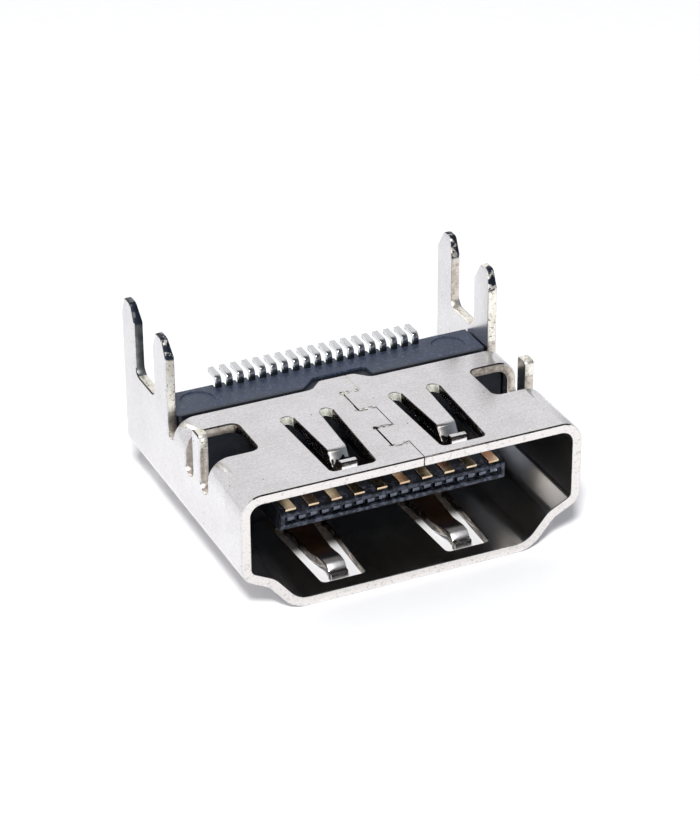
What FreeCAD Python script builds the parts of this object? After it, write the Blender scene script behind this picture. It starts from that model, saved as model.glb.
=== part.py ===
import FreeCAD, Part
import math
import os
import Sketcher

# Digital video socket for a printed board, legs up, standing on its narrow wall.
# X runs along the mouth, Y from the mouth to the rear, Z up. Millimetres.

os.makedirs("parts", exist_ok=True)
doc = FreeCAD.newDocument("video_socket")
Vector = FreeCAD.Vector

# Driving dimensions
SIZES = {
    # sheet and mouth
    "wall": 0.42,
    "mouth_half_width": 7.03,
    "mouth_height": 4.69,
    "shelf_height": 1.68,
    "shelf_angle": 27.0,
    "flare_inset": 1.0,
    "flare_angle": 50.0,
    "crown_bend": 0.5,
    "shelf_bend": 0.3,
    "flare_bend": 0.6,
    "floor_bend": 1.0,
    # rear edge of the wide wall
    "roof_depth": 7.0,
    "lip_root_half": 1.35,
    "lip_tip_half": 0.8,
    "lip_length": 0.55,
    "lip_round": 0.4,
    # board legs
    "slit_width": 0.6,
    "slit_depth": 1.0,
    "leg_width": 1.33,
    "leg_gap": 2.15,
    "leg_rise": 3.24,
    "leg_taper": 0.78,
    "leg_nose": 0.62,
    "valley_rise": 0.12,
    "valley_bend": 0.4,
    "nose_round": 0.24,
    "leg_coin": 0.12,
    # windows and upright tabs
    "window_front": 3.35,
    "window_length": 2.4,
    "window_reach": 2.25,
    "window_corner": 0.35,
    "tab_width": 0.7,
    "tab_rise": 0.68,
    "tab_corner": 0.15,
    "side_slot_depth": 1.68,
    # spring fingers
    "roof_spring_x": 2.4,
    "floor_spring_x": 2.76,
    "roof_spring_front": 0.52,
    "floor_spring_front": 0.72,
    "spring_root": 5.1,
    "spring_root_half": 0.6,
    "spring_tip_half": 0.38,
    "spring_slot": 0.54,
    "spring_slot_taper": 0.18,
    "spring_corner": 0.22,
    "spring_tip_gap": 0.72,
    "roof_spring_flat": 1.62,
    "floor_spring_flat": 2.35,
    "spring_knee": 1.45,
    "spring_drop": 0.22,
    "roof_spring_dimple": 0.55,
    "floor_spring_dimple": 0.35,
    "spring_curl": 0.3,
    "spring_tip_gauge": 0.3,
    "roof_spring_crest": 0.3,
    "floor_spring_crest": 1.0,
    "spring_nose_bend": 0.2,
    "spring_edge_round": 0.08,
    "spring_tip_slant": 0.15,
    # seam with interlocking tabs
    "seam_near": 0.42,
    "seam_far": 0.34,
    "seam_gap": 0.03,
    "seam_lead": 1.35,
    "seam_tab": 1.6,
    "seam_relief": 0.1,
    # rear flap
    "flap_height": 2.6,
    "flap_half_width": 4.2,
    "flap_bend": 0.3,
    "flap_notch": 0.4,
    # housing
    "housing_front": 6.2,
    "housing_rear": 9.6,
    "fit_gap": 0.05,
    "deck_rise": 0.15,
    "deck_gap": 0.62,
    "deck_corner": 0.25,
    "deck_tip_gap": 0.82,
    "deck_notch_near_gap": 0.1,
    "deck_notch_far_gap": 0.35,
    "deck_notch_slant": 0.79,
    "deck_notch_round": 0.15,
    "tongue_front": 1.85,
    "tongue_half_width": 5.0,
    "tongue_bottom": 2.0,
    "tongue_thickness": 0.92,
    "tongue_chamfer": 0.12,
    "tongue_slot_half": 4.8,
    "tongue_slot_height": 0.32,
    "tongue_slot_depth": 0.25,
    "heel_height": 1.3,
    "ejector_radius": 0.72,
    "ejector_depth": 0.06,
    "ejector_x": 5.7,
    "ejector_inset": 0.95,
    # contacts
    "contact_pitch": 1.0,
    "contact_gauge": 0.2,
    "pad_width": 0.46,
    "wide_pad_front": 0.12,
    "narrow_pad_front": 0.3,
    "pad_proud": 0.03,
    "blade_rear": 8.6,
    "tip_width": 0.3,
    "tip_reach": 0.13,
    "tip_inset": 0.37,
    "tail_width": 0.24,
    "riser_rear": 9.44,
    "bend_inside": 0.08,
    "foot_standoff": 0.24,
    "foot_length": 0.74,
    "channel_gap": 0.02,
}

sheet = doc.addObject("Spreadsheet::Sheet", "Dimensions")
for row, (word, size) in enumerate(SIZES.items(), start=1):
    sheet.set("A%d" % row, word)
    sheet.set("B%d" % row, str(size))
    sheet.setAlias("B%d" % row, word)
doc.recompute()


class Dim:
    """A length or angle together with the expression that ties it to the sheet."""

    def __init__(self, value, text):
        self.value = value
        self.text = text

    def _join(self, other, sign, value, swap=False):
        text = other.text if isinstance(other, Dim) else repr(other)
        pair = (text, self.text) if swap else (self.text, text)
        return Dim(value, "(%s %s %s)" % (pair[0], sign, pair[1]))

    def __add__(self, other):
        return self._join(other, "+", self.value + plain(other))

    def __radd__(self, other):
        return self._join(other, "+", plain(other) + self.value, swap=True)

    def __sub__(self, other):
        return self._join(other, "-", self.value - plain(other))

    def __rsub__(self, other):
        return self._join(other, "-", plain(other) - self.value, swap=True)

    def __mul__(self, other):
        return self._join(other, "*", self.value * plain(other))

    def __rmul__(self, other):
        return self._join(other, "*", plain(other) * self.value, swap=True)

    def __truediv__(self, other):
        return self._join(other, "/", self.value / plain(other))

    def __neg__(self):
        return Dim(-self.value, "(0 - %s)" % self.text)


def plain(number):
    return number.value if isinstance(number, Dim) else number


def tangent(angle):
    return Dim(math.tan(math.radians(angle.value)), "tan(%s * 1deg)" % angle.text)


def cosine(angle):
    return Dim(math.cos(math.radians(angle.value)), "cos(%s * 1deg)" % angle.text)


class Named:
    """Every size by its word."""

    def __getattr__(self, word):
        return Dim(float(sheet.get(word)), "Dimensions.%s" % word)


size = Named()

# Positions that several pieces share
side_inner = size.mouth_half_width
side_outer = side_inner + size.wall
height = size.mouth_height + 2 * size.wall
floor_top = size.wall
roof_under = height - size.wall
leg_front = size.roof_depth + size.slit_width
shell_rear = leg_front + 2 * size.leg_width + size.leg_gap
mouth_plane = -(shell_rear / 2)
tongue_low = size.wall + size.tongue_bottom
tongue_high = tongue_low + size.tongue_thickness
tongue_mid = tongue_low + size.tongue_thickness / 2
deck_top = roof_under + size.deck_rise
board_plane = height + size.foot_standoff

# Corners of the mouth: shelf, flare and floor, inside the sheet and outside it
shelf_tan = tangent(size.shelf_angle)
shelf_cos = cosine(size.shelf_angle)
flare_tan = tangent(size.flare_angle)
flare_cos = cosine(size.flare_angle)
shelf_z = floor_top + size.shelf_height
flare_x = side_inner - size.flare_inset
flare_z = shelf_z - size.flare_inset * shelf_tan
floor_x = flare_x - (flare_z - floor_top) / flare_tan
shelf_z_out = shelf_z + size.wall * shelf_tan - size.wall / shelf_cos
bend_shift = (1 / shelf_cos.value - 1 / flare_cos.value) / (shelf_tan.value - flare_tan.value)
slope_gap = Dim(
    bend_shift,
    "((1 / %s - 1 / %s) / (%s - %s))" % (shelf_cos.text, flare_cos.text, shelf_tan.text, flare_tan.text),
)
flare_x_out = flare_x + size.wall * slope_gap
flare_z_out = shelf_z_out - (side_outer - flare_x_out) * shelf_tan
floor_x_out = flare_x_out - flare_z_out / flare_tan


# A cut this deep goes right through the sheet and past both its faces
through = 3 * size.wall

# A slot's end is round: its corners take nearly half of its width
ROUND_END = 0.49


# Drawing helpers
def origin_feature(body, role):
    return [part for part in body.Origin.OriginFeatures if part.Role == role][0]


def new_body(name):
    body = doc.addObject("PartDesign::Body", name)
    body.Label = name
    body.setExpression("Placement.Base.y", mouth_plane.text)
    return body


def new_sketch(body, name, plane, offset=None):
    sketch = body.newObject("Sketcher::SketchObject", name)
    sketch.AttachmentSupport = [(origin_feature(body, plane), "")]
    sketch.MapMode = "FlatFace"
    if offset is not None:
        sketch.setExpression("AttachmentOffset.Base.z", offset.text)
    return sketch


def tie(sketch, kind, geometry, end, target, label):
    number = sketch.addConstraint(Sketcher.Constraint(kind, -1, 1, geometry, end, target.value))
    sketch.renameConstraint(number, label)
    return label, target


def draw_outline(sketch, points, mark="p"):
    """A closed outline. Each point is (x, y) or (x, y, rounding)."""
    corners = [Vector(plain(point[0]), plain(point[1]), 0) for point in points]
    count = len(corners)
    lines = []
    for index in range(count):
        segment = Part.LineSegment(corners[index], corners[(index + 1) % count])
        lines.append(sketch.addGeometry(segment, False))
    for index in range(count):
        following = lines[(index + 1) % count]
        sketch.addConstraint(Sketcher.Constraint("Coincident", lines[index], 2, following, 1))
    ties = []
    for index, point in enumerate(points):
        place = "%s%d" % (mark, index)
        ties.append(tie(sketch, "DistanceX", lines[index], 1, as_dim(point[0]), place + "x"))
        ties.append(tie(sketch, "DistanceY", lines[index], 1, as_dim(point[1]), place + "y"))
    for index, point in enumerate(points):
        if len(point) == 3:
            arc = sketch.GeometryCount
            sketch.fillet(lines[index], 1, point[2].value, True, True)
            number = sketch.addConstraint(Sketcher.Constraint("Radius", arc, point[2].value))
            label = "%s%dr" % (mark, index)
            sketch.renameConstraint(number, label)
            ties.append((label, point[2]))
    for label, target in ties:
        sketch.setExpression("Constraints.%s" % label, target.text)


def as_dim(number):
    return number if isinstance(number, Dim) else Dim(float(number), repr(float(number)))


def draw_circle(sketch, x, y, radius, mark="c"):
    circle = sketch.addGeometry(Part.Circle(Vector(x.value, y.value, 0), Vector(0, 0, 1), radius.value), False)
    ties = [
        tie(sketch, "DistanceX", circle, 3, x, mark + "x"),
        tie(sketch, "DistanceY", circle, 3, y, mark + "y"),
    ]
    number = sketch.addConstraint(Sketcher.Constraint("Radius", circle, radius.value))
    sketch.renameConstraint(number, mark + "r")
    ties.append((mark + "r", radius))
    for label, target in ties:
        sketch.setExpression("Constraints.%s" % label, target.text)


def extrude(body, kind, name, sketch, length, reverse=False, both=False):
    feature = body.newObject("PartDesign::%s" % kind, name)
    feature.Profile = sketch
    feature.SideType = "Symmetric" if both else "One side"
    feature.Reversed = reverse
    feature.Refine = False
    feature.setExpression("Length", length.text)
    sketch.Visibility = False
    return feature


def pad(body, name, sketch, length, reverse=False, both=False):
    return extrude(body, "Pad", name, sketch, length, reverse, both)


def pocket(body, name, sketch, length, reverse=False, both=False):
    doc.recompute()
    before = body.Shape.Volume
    feature = extrude(body, "Pocket", name, sketch, length, reverse, both)
    doc.recompute()
    if not body.Shape.Volume < before:
        raise ValueError("%s removes nothing" % name)
    return feature


def mirror_in_x(body, name, features):
    copy = body.newObject("PartDesign::Mirrored", name)
    copy.Originals = features
    copy.MirrorPlane = (origin_feature(body, "YZ_Plane"), [""])
    copy.Refine = False
    body.Tip = copy
    return copy


def row_in_x(body, name, features, count):
    copy = body.newObject("PartDesign::LinearPattern", name)
    copy.Originals = features
    copy.Direction = (origin_feature(body, "X_Axis"), [""])
    copy.Mode = "Spacing"
    copy.setExpression("Offset", size.contact_pitch.text)
    copy.Occurrences = count
    copy.Refine = False
    body.Tip = copy
    return copy


def finish(body):
    """Faces that lie in one plane become one face."""
    body.Tip.Refine = True
    return body


def box_points(left, right, low, high):
    return [(left, low), (right, low), (right, high), (left, high)]


# Shell: one sheet, folded round the mouth and closed at the seam
shell = new_body("shell")

profile = new_sketch(shell, "mouth_profile", "XZ_Plane")
outer = [
    (floor_x_out, 0, size.floor_bend + size.wall),
    (flare_x_out, flare_z_out, size.flare_bend),
    (side_outer, shelf_z_out, size.shelf_bend + size.wall),
    (side_outer, height, size.crown_bend + size.wall),
    (-side_outer, height, size.crown_bend + size.wall),
    (-side_outer, shelf_z_out, size.shelf_bend + size.wall),
    (-flare_x_out, flare_z_out, size.flare_bend),
    (-floor_x_out, 0, size.floor_bend + size.wall),
]
inner = [
    (floor_x, floor_top, size.floor_bend),
    (flare_x, flare_z, size.flare_bend + size.wall),
    (side_inner, shelf_z, size.shelf_bend),
    (side_inner, roof_under, size.crown_bend),
    (-side_inner, roof_under, size.crown_bend),
    (-side_inner, shelf_z, size.shelf_bend),
    (-flare_x, flare_z, size.flare_bend + size.wall),
    (-floor_x, floor_top, size.floor_bend),
]
draw_outline(profile, outer, "outer")
draw_outline(profile, inner, "inner")
pad(shell, "folded_sheet", profile, shell_rear, reverse=True)

# Behind the wide wall the sheet is open; a short lip carries the end of the seam
beyond = shell_rear + size.wall
past_side = side_outer + size.wall
corner_start = height - size.wall - size.crown_bend
rear_cut = new_sketch(shell, "rear_edge", "XY_Plane", corner_start)
draw_outline(rear_cut, [
    (-past_side, size.roof_depth),
    (-size.lip_root_half, size.roof_depth, size.lip_round),
    (-size.lip_tip_half, size.roof_depth + size.lip_length, size.lip_round),
    (size.lip_tip_half, size.roof_depth + size.lip_length, size.lip_round),
    (size.lip_root_half, size.roof_depth, size.lip_round),
    (past_side, size.roof_depth),
    (past_side, beyond),
    (-past_side, beyond),
])
above = height + size.leg_rise
pocket(shell, "rear_opening", rear_cut, above - corner_start, reverse=True)

# Board legs stand in the plane of the side wall, with a slit in front of them
overlap = size.crown_bend
leg_sketch = new_sketch(shell, "leg_outline", "YZ_Plane", side_inner)
nose_inset = (size.leg_width - size.leg_nose) / 2
shoulder = above - size.leg_taper
valley = height + size.valley_rise
rear_leg = shell_rear - size.leg_width
draw_outline(leg_sketch, [
    (leg_front, corner_start - overlap),
    (leg_front, shoulder, size.nose_round),
    (leg_front + nose_inset, above, size.nose_round),
    (leg_front + size.leg_width - nose_inset, above, size.nose_round),
    (leg_front + size.leg_width, shoulder, size.nose_round),
    (leg_front + size.leg_width, valley, size.valley_bend),
    (rear_leg, valley, size.valley_bend),
    (rear_leg, shoulder, size.nose_round),
    (rear_leg + nose_inset, above, size.nose_round),
    (shell_rear - nose_inset, above, size.nose_round),
    (shell_rear, shoulder, size.nose_round),
    (shell_rear, corner_start - overlap),
])
legs = pad(shell, "legs", leg_sketch, size.wall)
slit_sketch = new_sketch(shell, "slit_outline", "YZ_Plane", side_inner - size.wall)
slit_round = size.slit_width * ROUND_END
draw_outline(slit_sketch, [
    (size.roof_depth, height + size.wall),
    (size.roof_depth, height - size.slit_depth, slit_round),
    (leg_front, height - size.slit_depth, slit_round),
    (leg_front, height + size.wall),
])
slits = pocket(shell, "slit", slit_sketch, through, reverse=True)
coin = new_sketch(shell, "leg_coining", "XZ_Plane", -(leg_front - size.wall))
draw_outline(coin, [
    (side_inner - size.wall, shoulder),
    (side_inner, shoulder),
    (side_inner + size.leg_coin, above),
    (side_inner + size.leg_coin, above + size.wall),
    (side_inner - size.wall, above + size.wall),
])
coined = pocket(shell, "leg_coin", coin, shell_rear)
mirror_in_x(shell, "legs_both_sides", [legs, slits, coined])

# Windows in the wide wall; a tab is left standing straight up in each
window_rear = size.window_front + size.window_length
window_inner = side_outer - size.window_reach
window_sketch = new_sketch(shell, "window_outline", "XY_Plane", corner_start)
draw_outline(window_sketch, [
    (window_inner, size.window_front, size.window_corner),
    (past_side, size.window_front),
    (past_side, window_rear),
    (window_inner, window_rear, size.window_corner),
])
window = pocket(shell, "window", window_sketch, above - corner_start, reverse=True)
tab_front = size.window_front + (size.window_length - size.tab_width) / 2
tab_rear = tab_front + size.tab_width
slot_floor = height - size.side_slot_depth
tab_sketch = new_sketch(shell, "tab_outline", "YZ_Plane", side_inner)
draw_outline(tab_sketch, [
    (tab_front, slot_floor - overlap),
    (tab_rear, slot_floor - overlap),
    (tab_rear, height + size.tab_rise, size.tab_corner),
    (tab_front, height + size.tab_rise, size.tab_corner),
])
tab = pad(shell, "tab", tab_sketch, size.wall)
slot_width = (size.window_length - size.tab_width) / 2
slot_round = slot_width * ROUND_END
slot_sketch = new_sketch(shell, "tab_slots", "YZ_Plane", side_inner - size.wall)
draw_outline(slot_sketch, [
    (size.window_front, height + size.wall),
    (size.window_front, slot_floor, slot_round),
    (tab_front, slot_floor, slot_round),
    (tab_front, height + size.wall),
], "front")
draw_outline(slot_sketch, [
    (tab_rear, height + size.wall),
    (tab_rear, slot_floor, slot_round),
    (window_rear, slot_floor, slot_round),
    (window_rear, height + size.wall),
], "rear")
slots = pocket(shell, "tab_slot_pair", slot_sketch, through, reverse=True)
mirror_in_x(shell, "windows_both_sides", [window, tab, slots])


# Spring fingers: cut free on three sides, dipped into the mouth, with a curled tip
def spring(name, centre, front, surface, inward, flat, crest, dimple):
    """surface is the outer face of the wall; inward is 1 for upward, -1 for downward; flat is how far
    behind the slot's front the finger stays level, crest is how gently it bends down from there, and
    dimple is how deep its tip dips."""
    inner_face = surface + inward * size.wall
    tip = front + size.spring_tip_gap
    rough_half = size.spring_root_half + size.spring_slot / 2
    low = min(surface.value, inner_face.value)
    base = (surface if surface.value == low else inner_face) - size.wall
    rough = new_sketch(shell, name + "_rough", "XY_Plane", base)
    draw_outline(rough, box_points(centre - rough_half, centre + rough_half, tip, size.spring_root))
    clear = pocket(shell, name + "_clearance", rough, through, reverse=True)

    knee = front + size.spring_knee
    flat_end = front + flat
    drop = surface + inward * size.spring_drop
    pit = surface + inward * dimple
    bottom = pit + inward * size.spring_tip_gauge
    gauge = size.spring_tip_gauge
    edge = size.spring_edge_round
    slant = size.spring_tip_slant
    side = new_sketch(shell, name + "_side", "YZ_Plane", centre)
    draw_outline(side, [
        (size.spring_root, surface),
        (flat_end, surface, gauge),
        (knee, drop, edge),
        (knee - gauge, pit, edge),
        (tip + gauge, pit, edge),
        (tip, drop),
        (tip - slant, drop + inward * slant, edge),
        (tip + slant, bottom, size.spring_nose_bend),
        (knee - slant, bottom, crest),
        (flat_end, inner_face, crest),
        (size.spring_root, inner_face),
    ])
    finger = pad(shell, name + "_finger", side, 2 * rough_half, both=True)

    slot_outer = size.spring_root_half + size.spring_slot
    slot_front = slot_outer - size.spring_slot_taper
    slot_end = size.spring_root + size.spring_slot / 2
    tip_edge = tip - gauge
    trim = new_sketch(shell, name + "_slot", "XY_Plane", base - size.wall)
    end_round = size.spring_slot * ROUND_END
    draw_outline(trim, [
        (centre - slot_outer, slot_end, end_round),
        (centre - slot_front, front, size.spring_corner),
        (centre + slot_front, front, size.spring_corner),
        (centre + slot_outer, slot_end, end_round),
        (centre + size.spring_root_half, slot_end, end_round),
        (centre + size.spring_tip_half, tip_edge),
        (centre - size.spring_tip_half, tip_edge),
        (centre - size.spring_root_half, slot_end, end_round),
    ])
    free = pocket(shell, name + "_free", trim, 2 * through, reverse=True)
    return [clear, finger, free]


roof_spring = spring("roof_spring", size.roof_spring_x, size.roof_spring_front, height, -1,
                     size.roof_spring_flat, size.roof_spring_crest, size.roof_spring_dimple)
mirror_in_x(shell, "roof_springs", roof_spring)
floor_spring = spring("floor_spring", size.floor_spring_x, size.floor_spring_front, 0 * size.wall, 1,
                      size.floor_spring_flat, size.floor_spring_crest, size.floor_spring_dimple)
mirror_in_x(shell, "floor_springs", floor_spring)

# Seam: a fine gap that steps round two interlocking tabs
seam = new_sketch(shell, "seam_line", "XY_Plane", roof_under - size.wall)
half_gap = size.seam_gap / 2
first = size.seam_lead
second = first + size.seam_tab
third = second + size.seam_tab
fourth = third + size.seam_tab
seam_end = size.roof_depth + size.lip_length + size.wall
near_left = size.seam_near - half_gap
near_right = size.seam_near + half_gap
far_left = -size.seam_far - half_gap
far_right = -size.seam_far + half_gap
draw_outline(seam, [
    (near_left, -size.wall),
    (near_right, -size.wall),
    (near_right, first + half_gap),
    (far_right, first + half_gap),
    (far_right, second - half_gap),
    (near_right, second - half_gap),
    (near_right, third + half_gap),
    (far_right, third + half_gap),
    (far_right, fourth - half_gap),
    (near_right, fourth - half_gap),
    (near_right, seam_end),
    (near_left, seam_end),
    (near_left, fourth + half_gap),
    (far_left, fourth + half_gap),
    (far_left, third - half_gap),
    (near_left, third - half_gap),
    (near_left, second + half_gap),
    (far_left, second + half_gap),
    (far_left, first - half_gap),
    (near_left, first - half_gap),
])
pocket(shell, "seam", seam, through, reverse=True)
relief = new_sketch(shell, "seam_relief_holes", "XY_Plane", roof_under - size.wall)
far_line = -size.seam_far
draw_circle(relief, far_line, second, size.seam_relief, "a")
draw_circle(relief, far_line, fourth, size.seam_relief, "b")
pocket(shell, "seam_reliefs", relief, through, reverse=True)

# Rear flap: the narrow wall turns up behind the housing
notch_edge = size.flap_half_width + size.flap_notch
bend_out = size.flap_bend + size.wall
flap_gap = new_sketch(shell, "flap_notches", "XY_Plane", -size.wall)
draw_outline(flap_gap, box_points(-notch_edge, notch_edge, shell_rear - bend_out, beyond))
pocket(shell, "flap_notch", flap_gap, size.wall + floor_top + size.floor_bend / 2, reverse=True)
flap_side = new_sketch(shell, "flap_side", "YZ_Plane")
draw_outline(flap_side, [
    (shell_rear - bend_out - size.wall, 0),
    (shell_rear, 0, bend_out),
    (shell_rear, size.flap_height),
    (shell_rear - size.wall, size.flap_height),
    (shell_rear - size.wall, floor_top, size.flap_bend),
    (shell_rear - bend_out - size.wall, floor_top),
])
pad(shell, "flap", flap_side, 2 * size.flap_half_width, both=True)


# Contact outlines, seen from the side; the housing's channels use them too
class Row:
    """One row of contacts: face is the mating face, turn points into the tongue."""

    def __init__(self, face, turn, front):
        self.face = face
        self.turn = turn
        self.front = front
        self.back = face + turn * size.contact_gauge
        self.tip_face = face + turn * size.tip_inset
        self.tip_back = self.tip_face + turn * size.contact_gauge
        self.low = self.back if turn < 0 else self.face
        self.high = self.face if turn < 0 else self.back


wide_row = Row(tongue_high + size.pad_proud, -1, size.tongue_front + size.wide_pad_front)
narrow_row = Row(tongue_low - size.pad_proud, 1, size.tongue_front + size.narrow_pad_front)
slot_back = size.tongue_front + size.tongue_slot_depth
tip_front = slot_back - size.tip_reach
hook_back = slot_back + size.contact_gauge
riser_front = size.riser_rear - size.contact_gauge


def blade_points(row):
    return box_points(row.front, size.blade_rear, row.low, row.high)


def tip_points(row):
    gauge = size.contact_gauge
    return [
        (tip_front, row.tip_face),
        (slot_back, row.tip_face),
        (slot_back, row.face + row.turn * gauge / 2),
        (hook_back, row.face + row.turn * gauge / 2),
        (hook_back, row.tip_back, gauge),
        (tip_front, row.tip_back),
    ]


def tail_points(row):
    gauge = size.contact_gauge
    small = size.bend_inside
    large = size.bend_inside + gauge
    foot_end = size.riser_rear + size.foot_length
    return [
        (size.blade_rear - gauge, row.low),
        (size.riser_rear, row.low, large),
        (size.riser_rear, board_plane - gauge, small),
        (foot_end, board_plane - gauge),
        (foot_end, board_plane),
        (riser_front, board_plane, large),
        (riser_front, row.high, small),
        (size.blade_rear - gauge, row.high),
    ]


def groove_points(row):
    outside = size.housing_rear + size.wall
    return [
        (size.blade_rear - size.contact_gauge, row.low),
        (outside, row.low),
        (outside, board_plane),
        (riser_front, board_plane),
        (riser_front, row.high, size.bend_inside),
        (size.blade_rear - size.contact_gauge, row.high),
    ]


# Housing: one moulding, seated between the floor and the wide wall
housing = new_body("housing")
block_corner = size.crown_bend + size.fit_gap
block_side = side_inner - size.fit_gap
block = new_sketch(housing, "block_profile", "XZ_Plane", -size.housing_front)
block_floor = floor_x - size.floor_bend / 2 - size.fit_gap
draw_outline(block, [
    (block_floor, floor_top),
    (flare_x - size.fit_gap, flare_z + size.fit_gap),
    (block_side, shelf_z + size.fit_gap, size.shelf_bend + size.fit_gap),
    (block_side, roof_under, block_corner),
    (-block_side, roof_under, block_corner),
    (-block_side, shelf_z + size.fit_gap, size.shelf_bend + size.fit_gap),
    (-flare_x + size.fit_gap, flare_z + size.fit_gap),
    (-block_floor, floor_top),
])
pad(housing, "block", block, size.housing_rear - size.housing_front, reverse=True)

deck = new_sketch(housing, "deck_outline", "XY_Plane", roof_under - size.wall)
deck_front = size.roof_depth + size.deck_gap
notch_end = size.roof_depth + size.lip_length + size.deck_tip_gap
notch_near = size.lip_root_half + size.deck_notch_near_gap
notch_far = size.lip_root_half + size.deck_notch_far_gap
draw_outline(deck, [
    (-block_side, deck_front, size.deck_corner),
    (-notch_near, deck_front, size.deck_notch_round),
    (size.deck_notch_slant - notch_near, notch_end, size.deck_notch_round),
    (notch_far, notch_end, size.deck_notch_round),
    (notch_far, deck_front, size.deck_notch_round),
    (block_side, deck_front, size.deck_corner),
    (block_side, size.housing_rear),
    (-block_side, size.housing_rear),
])
pad(housing, "deck", deck, size.wall + size.deck_rise)

tongue = new_sketch(housing, "tongue_outline", "XY_Plane", tongue_low)
embed = size.housing_front + size.wall
draw_outline(tongue, [
    (-size.tongue_half_width, size.tongue_front, size.tongue_chamfer),
    (size.tongue_half_width, size.tongue_front, size.tongue_chamfer),
    (size.tongue_half_width, embed),
    (-size.tongue_half_width, embed),
])
pad(housing, "tongue", tongue, size.tongue_thickness)
nose = new_sketch(housing, "tongue_nose", "YZ_Plane")
nose_back = size.tongue_front + 2 * size.tongue_chamfer
outside_nose = size.tongue_front - size.wall
draw_outline(nose, [
    (outside_nose, tongue_high - size.tongue_chamfer),
    (size.tongue_front, tongue_high - size.tongue_chamfer),
    (nose_back, tongue_high),
    (nose_back, tongue_high + size.wall),
    (outside_nose, tongue_high + size.wall),
], "upper")
draw_outline(nose, [
    (outside_nose, tongue_low - size.wall),
    (nose_back, tongue_low - size.wall),
    (nose_back, tongue_low),
    (size.tongue_front, tongue_low + size.tongue_chamfer),
    (outside_nose, tongue_low + size.tongue_chamfer),
], "lower")
pocket(housing, "tongue_lead_in", nose, 3 * size.tongue_half_width, both=True)
slot = new_sketch(housing, "tongue_front_slot", "XZ_Plane", -size.tongue_front)
slot_low = tongue_mid - size.tongue_slot_height / 2
slot_high = tongue_mid + size.tongue_slot_height / 2
draw_outline(slot, box_points(-size.tongue_slot_half, size.tongue_slot_half, slot_low, slot_high))
pocket(housing, "tongue_slot", slot, size.tongue_slot_depth)

heel = new_sketch(housing, "heel_outline", "XY_Plane", floor_top)
heel_side = size.flap_half_width - size.fit_gap
heel_rear = shell_rear - size.wall
draw_outline(heel, box_points(-heel_side, heel_side, size.housing_rear - size.wall, heel_rear))
pad(housing, "heel", heel, size.heel_height)
heel_relief = new_sketch(housing, "heel_relief", "YZ_Plane")
relief_edge = size.flap_bend + size.fit_gap
draw_outline(heel_relief, [
    (heel_rear - relief_edge, floor_top),
    (heel_rear + size.wall, floor_top),
    (heel_rear + size.wall, floor_top + relief_edge),
    (heel_rear, floor_top + relief_edge),
])
pocket(housing, "heel_chamfer", heel_relief, 3 * size.flap_half_width, both=True)

ejector = new_sketch(housing, "ejector_marks", "XY_Plane", deck_top - size.ejector_depth)
ejector_y = size.housing_rear - size.ejector_inset
draw_circle(ejector, size.ejector_x, ejector_y, size.ejector_radius, "right")
draw_circle(ejector, -size.ejector_x, ejector_y, size.ejector_radius, "left")
pocket(housing, "ejector_mark_pair", ejector, 2 * size.ejector_depth, reverse=True)


def channels(name, row, first_x, count):
    cuts = []
    for word, points, width in (
        ("blade", blade_points(row), size.pad_width),
        ("tip", tip_points(row), size.tip_width),
        ("tail", groove_points(row), size.tail_width),
    ):
        title = "%s_%s_channel" % (name, word)
        outline = new_sketch(housing, title + "_outline", "YZ_Plane", first_x)
        draw_outline(outline, points)
        cuts.append(pocket(housing, title, outline, width + 2 * size.channel_gap, both=True))
    row_in_x(housing, name + "_channels", cuts, count)


WIDE_COUNT = 10
NARROW_COUNT = WIDE_COUNT - 1
wide_start = -(size.contact_pitch * (WIDE_COUNT - 1) / 2)
narrow_start = -(size.contact_pitch * (NARROW_COUNT - 1) / 2)
channels("wide_row", wide_row, wide_start, WIDE_COUNT)
channels("narrow_row", narrow_row, narrow_start, NARROW_COUNT)


# Contacts: odd numbers on the wide side of the tongue, even numbers on the narrow side
def contact(number, row, x):
    body = new_body("contact_%02d" % number)
    body.setExpression("Placement.Base.x", x.text)
    for word, points, width in (
        ("blade", blade_points(row), size.pad_width),
        ("tip", tip_points(row), size.tip_width),
        ("tail", tail_points(row), size.tail_width),
    ):
        outline = new_sketch(body, "%s_outline_%02d" % (word, number), "YZ_Plane")
        draw_outline(outline, points)
        pad(body, "%s_%02d" % (word, number), outline, width, both=True)
    return finish(body)


pieces = [finish(shell), finish(housing)]
for index in range(WIDE_COUNT):
    pieces.append(contact(2 * index + 1, wide_row, wide_start + size.contact_pitch * index))
for index in range(NARROW_COUNT):
    pieces.append(contact(2 * index + 2, narrow_row, narrow_start + size.contact_pitch * index))

doc.recompute()

# Every object is sound before anything is written
for item in doc.Objects:
    for word in ("Invalid", "Error"):
        if word in item.State:
            raise ValueError("%s is %s" % (item.Label, word))
for piece in pieces:
    shape = piece.Shape
    if shape.isNull() or not shape.isValid() or len(shape.Solids) != 1:
        raise ValueError("%s is not one sound solid" % piece.Label)

for piece in pieces:
    piece.Shape.exportStep("parts/%s.step" % piece.Label)
    bounds = piece.Shape.BoundBox
    print("%-12s %9.3f mm3  x %6.2f %6.2f  y %6.2f %6.2f  z %6.2f %6.2f" % (
        piece.Label, piece.Shape.Volume, bounds.XMin, bounds.XMax,
        bounds.YMin, bounds.YMax, bounds.ZMin, bounds.ZMax))
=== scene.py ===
import math

import bmesh
import bpy
from mathutils import Matrix, Vector
from mathutils.bvhtree import BVHTree


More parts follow.
